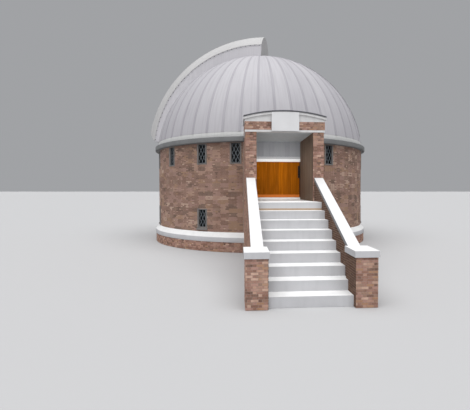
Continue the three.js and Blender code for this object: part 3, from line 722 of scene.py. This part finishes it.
def windows():
    surround, lattice, glass, sills = Shape(), Shape(), Shape(), Shape()
    rng = random.Random(7)
    half = WINDOW_WIDTH / 2
    clear = half - WINDOW_FRAME.side
    for azimuths, (bottom, top), lap in ((UPPER_AZIMUTHS, UPPER_WINDOW, 0),
                                         (LOWER_AZIMUTHS, LOWER_WINDOW, WINDOW_FRAME.lap)):
        half_height = (top - bottom) / 2
        clear_height = half_height - WINDOW_FRAME.foot
        for azimuth in azimuths:
            axes = drum_axes(azimuth)
            middle = on_drum(azimuth, 0, (bottom + top) / 2)
            add_surround(surround, middle, axes, half, half_height, lap)
            pane = middle + axes[2] * PANE.radius
            add_panes(glass, pane, axes, clear + PANE.lap, clear_height + PANE.lap, rng)
            add_lattice(lattice, pane + axes[2] * PANE.thickness, axes, clear, clear_height)
            if lap:
                add_sill(sills, azimuth, bottom - lap - SILL.height)
    piece("window_surrounds", surround, WINDOW_GREY)
    piece("window_lattice", lattice, LEAD)
    piece("window_panes", glass, GLASS, None, ("upper_glazing", "lower_glazing"))
    piece("window_sills", sills, WINDOW_GREY)


def add_surround(shape, middle, axes, half, half_height, head_lap):
    """A mitred frame lines the opening and laps over the wall, at its head by a lap of its own."""
    along, up, out = axes
    w = WINDOW_FRAME
    wall, back, front = (WALL_RADIUS + out for out in (w.bed, w.back, w.proud))
    rows = []
    for turn_x, turn_z in ((-1, -1), (1, -1), (1, 1), (-1, 1)):
        lap = head_lap if turn_z > 0 else w.lap
        section = [(w.gap, w.gap, back), (w.gap, w.gap, wall), (-w.lap, -lap, wall),
                   (-w.lap, -lap, front - w.arris), (w.arris - w.lap, w.arris - lap, front),
                   (w.side - w.splay[0], w.foot - w.splay[1], front),
                   (w.side, w.foot, front - w.splay[2]), (w.side, w.foot, back)]
        rows.append([middle + along * turn_x * (half - x) + up * turn_z * (half_height - z)
                     + out * r for x, z, r in section])
    shape.loops(rows, True)


def add_sill(shape, azimuth, foot):
    """A sloped sill block with a drip edge, along the wall's curve."""
    sweep = degrees(SILL.half / WALL_RADIUS)
    shape.loops([[on_drum(azimuth + sweep * (i / 3 - 1), WALL_RADIUS + out, foot + z)
                  for out, z in SILL_OUTLINE] for i in range(7)])


# Rings of the drum
def rounded_ring(node, ring):
    """A ring in a node's place, with its outer edges rounded at the foot and the top."""
    lo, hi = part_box(node)
    profile = arc((hi.x - ring.foot, lo.z + ring.foot), ring.foot, -90, 0, ring.steps[0])
    profile += arc((hi.x - ring.top, hi.z - ring.top), ring.top, 0, 90, ring.steps[1])
    return turned([(ring.inner, lo.z)] + profile + [(ring.inner, hi.z)])


def drum_rings():
    lo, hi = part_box("water_table")
    inner, arris, roll = WALL_RADIUS + 0.001, WATER_TABLE.arris, WATER_TABLE.roll
    profile = [(inner, lo.z)] + arc((hi.x - arris, lo.z + arris), arris, -90, 0, 3)
    profile += arc((hi.x - roll, WATER_TABLE.shoulder), roll, 0, 62, 6)
    profile += [(WALL_RADIUS + out, hi.z - below) for out, below in WATER_TABLE.slope]
    profile.append((inner, hi.z))
    piece("water_table_ring", turned(profile), STEP_WHITE, CREASE.ring, ("water_table",))

    shape = rounded_ring("cornice", CORNICE)
    piece("cornice_roll", shape, GREY, CREASE.ring, ("cornice",))


# The dome
def dome_shell():
    """A smooth shell with its room side, cut by the slit with a boolean."""
    def cap(radius):
        return arc((0, DOME_CENTRE), radius, dome_elevation(DOME_FOOT, radius), 90, SHELL_ROWS)[:-1]

    profile = cap(DOME_RADIUS) + cap(DOME_RADIUS - DOME_THICKNESS)[::-1]
    count, last = len(profile), SHELL_ROWS - 1
    points = [on_drum(FIRST_SEAM + 360 * s / SHELL_SEGMENTS, r, z)
              for s in range(SHELL_SEGMENTS) for r, z in profile]
    top = len(points)
    points += [on_drum(0, 0, DOME_CENTRE + DOME_RADIUS - depth) for depth in (0, DOME_THICKNESS)]
    starts = [(s * count, (s + 1) % SHELL_SEGMENTS * count) for s in range(SHELL_SEGMENTS)]
    faces = [(here + i, after + i, after + (i + 1) % count, here + (i + 1) % count)
             for here, after in starts for i in range(count) if i != last]
    for here, after in starts:
        faces += [(here + last, after + last, top), (after + last + 1, here + last + 1, top + 1)]
    shape = Shape()
    shape.add(points, faces)
    shell = piece("dome_skin", shape, DOME_PAINT, None, ("dome_shell",), "dome")
    cut_slit(shell)
    soften(shell.data, CREASE.ring)


def cut_slit(shell):
    """Takes the slit out of the shell, and leaves no modifier or cutter behind."""
    cutter = Shape()
    towards = on_slit(1, 0, 0) - on_slit(0, 0, 0)
    across = on_slit(0, 0, SLIT_HALF) - on_slit(0, 0, -SLIT_HALF)
    corner = on_slit(0, 0, -SLIT_HALF) - towards * SLIT_PAST_ZENITH
    corner.z = SLIT_SILL
    cutter.box(corner, (across, towards * 9, UP * 8))
    knife = put("slit_cutter", cutter)
    cut = shell.modifiers.new("slit", "BOOLEAN")
    settle(cut, operation="DIFFERENCE", solver="EXACT", object=knife)
    bpy.context.view_layer.update()
    graph = bpy.context.evaluated_depsgraph_get()
    result = bpy.data.meshes.new_from_object(shell.evaluated_get(graph))
    shell.modifiers.remove(cut)
    shell.data = result
    bpy.data.objects.remove(knife)


def seam_runs(azimuth):
    """Elevations of the stretches of a seam that keep clear of the shutter's path."""
    start = dome_elevation(DOME_FOOT + SEAT)
    runs = [[]]
    for i in range(int((SEAM.top - start) / SEAM.step) + 1):
        elevation = start + i * SEAM.step
        if abs(on_dome(azimuth, elevation).dot(SLIT_SIDEWAYS)) > SHUTTER_PATH_HALF:
            runs[-1].append(elevation)
        else:
            runs.append([])
    return [run for run in runs if len(run) > 1]


def dome_seams():
    """Battens over the joints of the gores, from the skirt to the shutter's path. Their darker
    grey is painted shade along the seams.
    """
    shape = Shape()
    for azimuth in SEAM_AZIMUTHS:
        along = drum_axes(azimuth)[0]
        for run in seam_runs(azimuth):
            rows = []
            for elevation in run:
                narrow = SEAM.least + (1 - SEAM.least) * cos(radians(elevation))
                rows.append([on_dome(azimuth, elevation, DOME_RADIUS + out) + along * side * narrow
                             for side, out in SEAM_SECTION])
            shape.loops(rows)
    piece("dome_seams", shape, SEAM_PAINTED_SHADE, CREASE.small, body="dome")


def dome_skirt():
    shape = rounded_ring("dome_skirt", SKIRT)
    piece("skirt_band", shape, SKIRT_PAINT, CREASE.ring, ("dome_skirt",), "dome")
    lo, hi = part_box("dome_skirt")
    shape = Shape()
    height = hi.z - lo.z - STRAP.foot - STRAP.head
    for azimuth in SEAM_AZIMUTHS:
        along, up, out = drum_axes(azimuth)
        corner = on_drum(azimuth, hi.x - STRAP.sunk, lo.z + STRAP.foot) - along * STRAP.half
        shape.box(corner, (out * STRAP.thickness, along * 2 * STRAP.half, up * height))
    piece("skirt_straps", shape, SKIRT_PAINT, body="dome")


# The shutter
def crown_at(y):
    """Radius of the hood's face at a distance across from its middle."""
    rise = HOOD.crown - HOOD.edge
    radius = (HOOD.half ** 2 + rise ** 2) / (2 * rise)
    return HOOD.crown - HOOD_SKIN.drop - radius + sqrt(radius ** 2 - y * y)


def hood_start(radius):
    """Elevation at which the hood's lower end cuts a part of it at this radius."""
    first, crown_first = radians(HOOD.first), radians(HOOD.crown_first)
    corner = Vector((HOOD.edge * cos(first), HOOD.edge * sin(first)))
    crown = Vector((HOOD.crown * cos(crown_first), HOOD.crown * sin(crown_first)))
    rake = (crown - corner).normalized()
    reach = corner.x * rake.y - corner.y * rake.x
    slope = atan2(rake.x, rake.y)
    return max(HOOD.first, degrees(acos(min(1, reach / radius)) - slope))


def arched(outline, trim=0.0, foot=None):
    """Rows of points along the whole hood, from an outline of (radius, across). Radii of None lie
    at the foot, whose circle is about the dome's own centre."""
    lift, steps = HOOD.lift, HOOD.steps
    rows = []
    for i in range(steps + 1):
        row = []
        for radius, across in outline:
            start = hood_start(radius or HOOD.edge) + trim
            elevation = start + (HOOD.last - trim - start) * i / steps
            if radius is None:
                e = radians(elevation)
                radius = sqrt(foot ** 2 - (lift * cos(e)) ** 2) - lift * sin(e)
            row.append(on_slit(radius, elevation, across) + UP * lift)
        rows.append(row)
    return rows


def hood():
    half, thickness, count = HOOD.half, HOOD_SKIN.thickness, HOOD_SKIN.stations
    over, under = [], []
    for i in range(-count, count + 1):
        y = half * sin(pi / 2 * i / count)
        arris = HOOD_SKIN.arris if abs(i) == count else 0
        over.append((crown_at(y) - arris, y))
        under.insert(0, (crown_at(y) - thickness + arris, y))
    skin = solid(arched(over + under))
    piece("hood_skin", skin, HOOD_PAINT, CREASE.sheet, ("shutter_skin",), "shutter")

    ribs = Shape()
    for middle in HOOD_RIB.at:
        outline = [(crown_at(middle + side) + out, middle + side) for side, out in HOOD_RIB_SECTION]
        ribs.loops(arched(outline, trim=HOOD_RIB.trim))
    piece("hood_ribs", ribs, HOOD_PAINT, CREASE.small, body="shutter")


def cheeks():
    """The hood's sides. Outlines run backwards on the far side, so that all faces point out."""
    top = crown_at(CHEEK.outer) - HOOD_SKIN.thickness - CHEEK.gap
    low = top - CHEEK.strap
    for name, side in (("near", -1), ("far", 1)):
        inner, outer = side * CHEEK.inner, side * CHEEK.outer
        face = outer + side * CHEEK.strap_thickness
        plate = [(None, inner), (None, outer), (top, outer), (top, inner)][::-side]
        strap = [(low, outer), (low, face), (top, face), (top, outer)][::-side]
        heads = bolts(top - CHEEK.strap / 2, face, side)
        for part, shape, slot, material, crease, replaces in (
                ("cheek", solid(arched(plate, foot=CHEEK.foot)), "dome_paint", CHEEK_PAINT,
                 CREASE.sheet, (f"shutter_cheek_{name}",)),
                ("shoes", shoes(side), "steel", STEEL, CREASE.small, ()),
                ("strap", solid(arched(strap)), "dome_paint", CHEEK_PAINT, CREASE.sheet, ()),
                ("bolts", heads, "dark_metal", BOLT_METAL, CREASE.small, ())):
            piece(f"hood_{part}_{name}", shape, material, crease, replaces, "shutter")


def shoes(side):
    """Blocks that ride over the slit's rail and follow its curve."""
    shape = Shape()
    bottom, top, inner, outer = SHOE.bottom, SHOE.top, side * SHOE.inner, side * SHOE.outer
    outline = [(bottom, inner), (bottom, outer), (top, outer), (top, inner)][::-side]
    for middle in SHOE.at:
        elevations = [middle + SHOE.arc * (i / 4 - 0.5) for i in range(5)]
        shape.loops([[on_slit(r, e, y) for r, y in outline] for e in elevations])
    return shape


def bolts(radius, across, side):
    """A row of bolt heads along a cheek."""
    shape = Shape()
    sweep = HOOD.last - HOOD.first - 2 * BOLT.clear
    count = int(radians(sweep) * radius / BOLT.pitch)
    turns = [tau * k / BOLT.sides * side for k in range(BOLT.sides)]
    for i in range(count + 1):
        elevation = HOOD.first + BOLT.clear + sweep * i / count
        rings = []
        for share, out in BOLT.rings:
            size = BOLT.radius * share
            rings.append([on_slit(radius + size * cos(turn),
                                  elevation + degrees(size * sin(turn) / radius),
                                  across + side * out) + UP * HOOD.lift for turn in turns])
        shape.loops(rings)
    return shape


# The porch and the doorway
def porch_roof():
    lo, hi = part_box("porch_roof")
    half, peak, steps = (hi.x - lo.x) / 2, hi.z, ROOF.steps
    rise = peak - ROOF.eaves
    radius = (half * half + rise * rise) / (2 * rise)

    def line(below):
        """The roof's arch at a depth under its top."""
        xs = [half - 2 * half * i / steps for i in range(steps + 1)]
        return [(PORCH_X + x, peak - radius + sqrt((radius - below) ** 2 - x * x)) for x in xs]

    def layer(top, bottom, front, back):
        outline = line(top) + line(bottom)[::-1]
        return [[Vector((x, y, z)) for x, z in outline] for y in (front, back)]

    sheet = layer(0, ROOF.sheet, lo.y, hi.y)
    piece("porch_roof_sheet", solid(sheet), ROOF_DARK, CREASE.sheet, ("porch_roof",))
    deck = layer(ROOF.sheet, ROOF.thickness, lo.y + ROOF.overhang, hi.y)
    piece("porch_roof_deck", solid(deck), WHITE, CREASE.sheet, ("porch_roof",))

    ribs = Shape()
    reach = hi.y - lo.y - 2 * ROOF_RIB.end
    for i in range(ROOF_RIB.count):
        y = lo.y + ROOF_RIB.end + reach * i / (ROOF_RIB.count - 1)
        ribs.loops(layer(-ROOF_RIB.height, ROOF_RIB.sunk, y, y + ROOF_RIB.width))
    piece("porch_roof_ribs", ribs, ROOF_DARK, CREASE.sheet)


def add_boards(shape, x, y, z, count, depth, facing, seed, gap=0.008):
    """Upright boards with chamfered edges, standing on the plane y, facing -1 or 1 along Y."""
    rng = random.Random(seed)
    pitch = (x[1] - x[0]) / count
    chamfer = min(CHAMFER, depth * 0.7)
    face, shoulder, back = y + facing * depth, y + facing * (depth - chamfer), y - facing * 0.002
    for i in range(count):
        a, b = x[0] + i * pitch + gap / 2, x[0] + (i + 1) * pitch - gap / 2
        section = [(a, back), (a, shoulder), (a + chamfer, face),
                   (b - chamfer, face), (b, shoulder), (b, back)]
        if facing > 0:
            section.reverse()
        rows = [[Vector((across, out, height)) for across, out in section] for height in z]
        shape.loops(rows, tone=rng.random())


def porch_lining():
    """Upright boards on the inner sides of the porch."""
    rng = random.Random(12)
    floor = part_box("landing")[1].z + SEAT
    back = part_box("door_lintel")[0].y - SEAT
    for name, side in (("left", 1), ("right", -1)):
        lo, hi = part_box(f"porch_wall_{name}")
        face, start = (hi.x, lo.y) if side > 0 else (lo.x, back)
        pitch = (back - lo.y) / LINING.count
        board = edges(side * LINING.thickness, side * (pitch - LINING.gap), hi.z - floor)
        shape = Shape()
        for i in range(LINING.count):
            y = start + side * (i * pitch + LINING.gap / 2)
            shape.box(Vector((face, y, floor)), board, rng.random())
        piece(f"porch_lining_{name}", shape, LINING_WOOD)


def doorway():
    leaf_lo, leaf_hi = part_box("door_leaf")
    kick_lo, kick_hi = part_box("door_kick_strip")
    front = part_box("door_jamb_right")[0].y
    back = front + PLANKS.leaf
    x, edge = (kick_lo.x, kick_hi.x), PLANKS.edge
    planks, ledges, transom, fillet = Shape(), Shape(), Shape(), Shape()
    span = (kick_hi.z + edge, leaf_hi.z - edge)
    add_boards(planks, x, front, span, PLANKS.count, PLANKS.front, -1, 5, PLANKS.gap)
    span = (leaf_lo.z + edge, leaf_hi.z - edge)
    add_boards(planks, x, back, span, PLANKS.count, PLANKS.back, 1, 6)
    piece("door_planks", planks, PLANK_WOOD, body="door")

    x = (x[0] + LEDGE.end, x[1] - LEDGE.end)
    for z in LEDGE.at:
        span = (z, z + LEDGE.height)
        add_boards(ledges, x, back + LEDGE.sunk, span, 1, LEDGE.depth, 1, int(z * 100))
    piece("door_ledges", ledges, PLANK_WOOD, body="door")

    lo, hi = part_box("transom_panel")
    span = (lo.z + TRANSOM.edge, hi.z - TRANSOM.edge)
    add_boards(transom, (lo.x, hi.x), lo.y, span, TRANSOM.count, TRANSOM.depth, -1, 8, TRANSOM.gap)
    piece("transom_boards", transom, GREY_BOARDS)

    lo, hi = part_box("door_lintel")
    proud, depth, below, height = 0.014, 0.02, 0.115, 0.11
    fillet.box(Vector((lo.x, lo.y - proud, hi.z - below)), edges(hi.x - lo.x, depth, height))
    piece("lintel_fillet", fillet, SILL_GREY)


# CAD nodes that stay
def dress_nodes():
    """Gives the solids that show their materials, and rounds the edges of the stone ones."""
    steps = " ".join(f"step_{i}" for i in range(1, 9)) + " pedestal_cap_left pedestal_cap_right"
    copings = "coping_left coping_right"
    for material, names in (
            (MORTAR, "wall_front_right wall_right wall_rear wall_left wall_front_left plinth"),
            (MORTAR, "wall_below_door wall_above_door porch_wall_left porch_wall_right"),
            (MORTAR, "entablature flank_left flank_right pedestal_left pedestal_right"),
            (TAN, "landing_wall"), (STEP_WHITE, steps), (COPING_WHITE, copings),
            (LANDING_PAINTED_LIGHT_AND_SHADE, "landing"),
            (PLAQUE_WHITE, "plaque"), (WHITE, "architrave fascia"), (GREY, "link_roof"),
            (CONCRETE, "ground_floor upper_floor"), (GREY_BOARDS, "transom_panel"),
            (CEILING_BOARDS_PAINTED_LIGHT, "porch_ceiling"), (LINTEL_PAINTED_LIGHT_WHITE, "door_lintel door_threshold"),
            (BRONZE, "door_jamb_left door_jamb_right door_handle"), (PLANK_WOOD, "door_leaf"),
            (KICK_PAINT, "door_kick_strip"), (STEEL, "dome_rail dome_base_ring"),
            (DOME_PAINT, "slit_rail_near slit_rail_far"),
            (HOOD_PAINT, "shutter_end_lower shutter_end_upper")):
        for name in names.split():
            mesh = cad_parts[name].data
            mesh.materials.clear()
            mesh.materials.append(material)
    for width, segments, names in (
            (0.012, 3, f"{steps} {copings} landing door_lintel plaque door_threshold"),
            (0.005, 2, "architrave fascia link_roof door_handle")):
        for name in names.split():
            bevel(name, width, segments)


# Floor, light and camera
def lamp(name, kind, away, energy, **settings):
    """A light that shines from the side that away points to."""
    source = put(name, settle(bpy.data.lights.new(name, kind), energy=energy, **settings))
    source.rotation_euler = Vector(away).to_track_quat("Z", "Y").to_euler()
    return source


def sun(name, azimuth, elevation, energy, spread):
    e = radians(elevation)
    lamp(name, "SUN", on_drum(azimuth, cos(e), sin(e)), energy, angle=radians(spread))


def porch_lamp():
    """A soft lamp in front of the porch's mouth that lights its inside, as flat daylight does."""
    source = lamp("porch", "AREA", (0, -1, 0.12), 27, shape="RECTANGLE", size=2.4, size_y=1.6,
                  spread=radians(95))
    settle(source, location=(PORCH_X, -10.9, 4.9), visible_camera=False, visible_glossy=False)


def stage():
    """A plain pale floor under soft studio light, most of it from high in front."""
    disc = Shape()
    sides, radius, below = 48, 1500, 0.003
    disc.add([on_drum(360 * i / sides, radius, -below) for i in range(sides)], [range(sides)])
    floor = put("floor", disc)
    pale = Finish("floor", 0.9, specular=0.1)
    pale.feed(pale.shader, {"Base Color": "AAAAAB"})
    floor.data.materials.append(pale.material)

    world = bpy.data.worlds.new("studio")
    world.use_nodes = True
    sky = world.node_tree.nodes["Background"]
    sky.inputs["Color"].default_value = linear("F2F4F8")
    sky.inputs["Strength"].default_value = 0.4
    bpy.context.scene.world = world
    sun("key", azimuth=-10, elevation=73, energy=4.2, spread=80)
    sun("fill", azimuth=-12, elevation=9, energy=0.45, spread=40)
    porch_lamp()
    bpy.context.scene.view_settings.view_transform = "Standard"


def camera():
    """The photograph's view: a low eye a little left of the porch."""
    lens = bpy.data.cameras.new("camera")
    settle(lens, sensor_width=36, lens=27.81, shift_x=-0.0602, shift_y=-0.0069, clip_end=1000)
    eye = put("camera", lens)
    eye.location = (-1.799, -27.741, 3.5)
    down, right = 1.805, 4.19
    eye.rotation_euler = (radians(90 - down), 0, radians(-right))
    bpy.context.scene.camera = eye


camera()
stage()
dress_nodes()
drum_brickwork()
porch_brickwork()
steps_brickwork()
windows()
drum_rings()
dome_shell()
dome_seams()
dome_skirt()
hood()
cheeks()
porch_roof()
porch_lining()
doorway()
